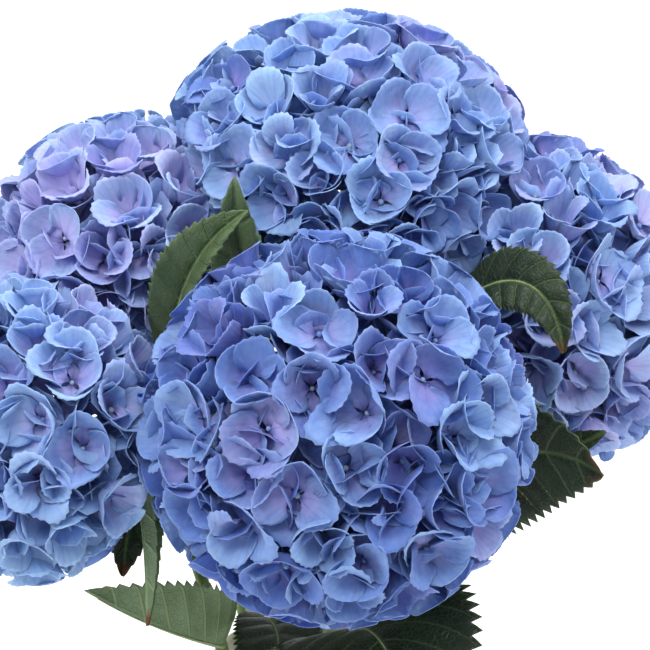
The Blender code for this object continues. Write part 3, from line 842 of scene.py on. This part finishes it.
def bend_florets(name, spots, layer, dice):
    """The sepals of all these florets: points, faces, the marks that colour them, and
    how high each floret stands."""
    head, pattern = heads[name], layer.pattern
    many = len(pattern.spread)
    levels = [dice.uniform(-layer.uneven, layer.uneven) for _ in spots]
    sheets, marks = [], {"along": [], "rim": [], "tone": [], "light": [], "across": []}
    for i, (middle, normal) in enumerate(spots):
        tilt = Vector([dice.gauss(0, 0.19) for _ in range(3)])
        normal = (normal + tilt).normalized()
        side = square_to(normal, Vector((0.3, 0.5, 0.81)))
        across = normal.cross(side)
        walls = walls_round(i, spots, levels, side, across, layer.least)
        start = dice.uniform(0, math.pi / 2)
        size = layer.length * dice.uniform(0.88, 1.10)
        sunk = min(1, max(0, 0.5 - levels[i] / (2 * layer.uneven) + dice.uniform(-0.25, 0.25)))
        base_rise = math.radians(layer.closed[0] + (layer.closed[1] - layer.closed[0]) * sunk)
        tone, light = dice.gauss(0, 1), dice.gauss(0, 1)
        directions = np.array([side, across, normal])
        for number in range(4):
            shape = sepal(pattern, dice, number, start, size, base_rise, walls)
            sheets.append(np.array(middle + normal * levels[i]) + shape @ directions)
            marks["along"].append(pattern.reach)
            marks["rim"].append(pattern.rim)
            marks["across"].append(pattern.spread / WIDEST)
            marks["tone"].append(np.full(many, tone + dice.gauss(0, 0.35)))
            marks["light"].append(np.full(many, light + dice.gauss(0, 0.5)))
    points = np.array(sheets)
    shape = points.shape
    held, _ = pressed(gathered(points.reshape(-1, 3), head), head, press_planes(name), PRESS_SLACK)
    points = behind_leaves(held.reshape(shape), name)
    points, faces = double_sided(points, pattern.faces, pattern.loop, SEPAL_THICKNESS)
    doubled = {mark: np.concatenate([np.array(v), np.array(v)], axis=1).ravel() for mark, v in marks.items()}
    return points, faces, doubled, levels


def petal_finish(name, lilac, cyan_and_painted_light):
    """Sepal colour: blue, more lilac towards the claw, with fine veins, painted shade at
    the claws and a pale painted highlight on the rim. The last two arguments say how far the
    whole head leans to lilac, and to a lighter, more cyan blue that is partly its own colour and partly
    painted light."""
    material, tree, sockets = finish_called(
        name, Roughness=0.62, Subsurface_Weight=0.22, Subsurface_Scale=0.0016,
        Specular_IOR_Level=0.30, Sheen_Weight=0.10, Sheen_Roughness=0.5)
    sockets["Subsurface Radius"].default_value = (0.7, 0.8, 1.0)
    mark = {key: tree.node("Attribute", {"attribute_name": key}, output=2)
            for key in ("along", "rim", "tone", "light", "across")}
    place = tree.node("TexCoord", output=3)
    drift = place.node("TexNoise", inputs={"Vector": place, "Scale": 13.0, "Detail": 2.0})
    blotch = place.node("TexNoise", inputs={"Vector": place, "Scale": 120.0, "Detail": 3.0, "Roughness": 0.6})
    grain = place.node("TexNoise", inputs={"Vector": place, "Scale": 1100.0, "Detail": 2.0})
    along, aside = mark["along"], mark["across"]
    wobble = (blotch - 0.5) * 1.6
    coarse = ((aside * 13.0 + wobble).maths("SINE") * 0.5 + 0.5) ** 6.0
    fine = ((aside * 34.0 + wobble * 2.0).maths("SINE") * 0.5 + 0.5) ** 4.0
    veins = coarse * (1 - along * 0.6) * 0.7 + fine * along.between(0.3, 0.7) * 0.4
    pink = (1 - along.between(0.10, 0.85)) * 0.55 + (drift - 0.5) * 1.7 + mark["tone"] * 0.10 + lilac
    pink = (pink + (blotch - 0.5) * 0.5).between(0.0, 1.0)
    # The head's lean to a lighter, more cyan blue is partly its own colour and partly painted light.
    blue = (mark["light"] * 0.13 + (blotch - 0.5) * 0.6 + cyan_and_painted_light).between(0.0, 1.0)
    sheet = blue.blend(colour(80, 110, 182), colour(148, 182, 226))
    rosy = blue.blend(colour(112, 110, 184), colour(176, 172, 226))
    sheet = pink.blend(sheet, rosy)
    sheet = (veins * 0.32).blend(sheet, colour(92, 92, 178))
    # Painted shade: the sepals darken to deep indigo at their claws, where the floret's middle lies in shade.
    claw_shade = 1 - along.between(0.05, 0.24)
    sheet = (claw_shade * 0.7).blend(sheet, colour(50, 46, 124))
    # Painted highlight: a pale line along each sepal's toothed edge.
    sheet = (mark["rim"].between(0.85, 1.0) * 0.16).blend(sheet, colour(188, 206, 250))
    bump = place.node("Bump", inputs={"Strength": 0.7, "Distance": 0.0005,
                                      "Height": veins * -0.6 + grain * 0.25 + blotch * 0.7})
    sheet.into(sockets["Base Color"])
    bump.into(sockets["Normal"])
    return material


bead, tree, sockets = finish_called(
    "bead_of_bud", Roughness=0.42, Subsurface_Weight=0.15, Subsurface_Scale=0.001)
place = tree.node("TexCoord", output=3)
mottle = place.node("TexNoise", inputs={"Vector": place, "Scale": 400.0, "Detail": 2.0})
which = place.node("TexNoise", inputs={"Vector": place, "Scale": 30.0, "Detail": 0.0})
skin = which.between(0.4, 0.62).blend(colour(116, 150, 208), colour(176, 196, 190))
skin = (mottle * 0.5).blend(skin, colour(98, 118, 190))
bump = place.node("Bump", inputs={"Strength": 0.4, "Distance": 0.0004, "Height": mottle})
skin.into(sockets["Base Color"])
bump.into(sockets["Normal"])

bpy.ops.mesh.primitive_ico_sphere_add(subdivisions=2, radius=1.0, location=(0, 0, 0))
ball = bpy.context.active_object
ball_points = np.array([v.co for v in ball.data.vertices])
ball_faces = [tuple(p.vertices) for p in ball.data.polygons]
bpy.data.objects.remove(ball)

# How far each head leans to lilac, and to a lighter, more cyan blue that is partly its own colour and partly
# painted light
COLOURING = {
    "front": (0.08, 0.40),
    "top": (0.10, 0.62),
    "left_upper": (0.36, 0.76),
    "left_lower": (0.10, 0.74),
    "right": (0.28, 0.72),
}
for number, (name, head) in enumerate(heads.items()):
    dice = random.Random(40 + number)
    petals = petal_finish("blue_petals_" + name, *COLOURING[name])
    layers = [(layer, floret_spots(name, layer, dice)) for layer in (outer_layer, under_layer)]
    florets = []
    for layer, spots in layers:
        points, faces, marks, levels = bend_florets(name, spots, layer, dice)
        florets += [(middle, normal, level) for (middle, normal), level in zip(spots, levels)]
        sepals = mesh_piece(layer.name + name, points, faces, petals, marks)
        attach(sepals, "root")
        if layer is outer_layer:
            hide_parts("bloom_" + name)

    points, faces = [], []
    for middle, normal, level in florets:
        size = dice.uniform(0.0012, 0.0018)
        base = len(points)
        spot = np.array(middle + normal * (level + 0.0010))
        points += list(spot + ball_points * size)
        faces += [tuple(base + i for i in face) for face in ball_faces]
    buds = mesh_piece("buds_" + name, points, faces, bead)
    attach(buds, "root")

    points, faces = [], []
    tips = [crown_stalk(head, level, side)[-1] for level in range(3) for side in range(2)]
    tips.append(head.to_world(0, 0, head.crown_top - 0.002))
    for middle, normal, level in florets:
        top = middle + normal * (level + 0.0002)
        foot = min(tips, key=lambda tip: (tip - top).length)
        bends = (foot, foot.lerp(top, 0.4), top - normal * 0.014, top)
        path = [bezier(bends, i / 6) for i in range(7)]
        tube(path, np.linspace(0.0009, 0.0007, 7), 6, points, faces)
    stalks = mesh_piece("stalks_" + name, points, faces, bark)
    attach(stalks, "root")


# ---------------------------------------------------------------- the setting
# A plain white floor that carries on past the view, under four wide soft lamps in a
# bright white room, with the camera above and in front of the flowers.

bpy.ops.mesh.primitive_plane_add(size=12.0, location=(0, 0, -0.0002))
floor = bpy.context.active_object
floor.name = "floor"
paper, tree, sockets = finish_called("white_paper", Roughness=0.9, Emission_Strength=0.16)
place = tree.node("TexCoord", output=3)
grain = place.node("TexNoise", inputs={"Vector": place, "Scale": 300.0, "Detail": 2.0})
white = grain.blend(colour(250, 250, 250), colour(253, 253, 253))
white.into(sockets["Base Color"])
floor.data.materials.append(paper)

scene = bpy.context.scene
world = bpy.data.worlds.new("studio")
world.use_nodes = True
world.node_tree.nodes["Background"].inputs["Color"].default_value = (0.96, 0.98, 1.0, 1.0)
world.node_tree.nodes["Background"].inputs["Strength"].default_value = 0.45
scene.world = world

AIM = Vector((0.0158, -0.021, 0.468))
LAMPS = (
    ("key", (-0.3, -0.9, 2.5), 1.0, 26.0),
    ("top", (0.3, 0.8, 2.3), 1.1, 30.0),
    ("right", (1.7, -0.4, 1.7), 1.0, 19.0),
    ("left", (-1.7, -0.5, 1.6), 1.0, 18.0),
)
for name, place, size, power in LAMPS:
    lamp = bpy.data.lights.new(name, "AREA")
    lamp.size, lamp.energy = size, power
    lamp_object = bpy.data.objects.new(name, lamp)
    lamp_object.location = place
    lamp_object.rotation_euler = (AIM - Vector(place)).to_track_quat("-Z", "Y").to_euler()
    scene.collection.objects.link(lamp_object)

ELEVATION, DISTANCE, VIEW_WIDTH = math.radians(28), 1.1, 0.340
lens = bpy.data.cameras.new("camera")
lens.sensor_width = 36.0
lens.lens = 36.0 * DISTANCE / VIEW_WIDTH
camera = bpy.data.objects.new("camera", lens)
back = Vector((0, -math.cos(ELEVATION), math.sin(ELEVATION)))
camera.location = AIM + back * DISTANCE
camera.rotation_euler = (-back).to_track_quat("-Z", "Y").to_euler()
scene.collection.objects.link(camera)
scene.camera = camera
scene.view_settings.view_transform = "Standard"
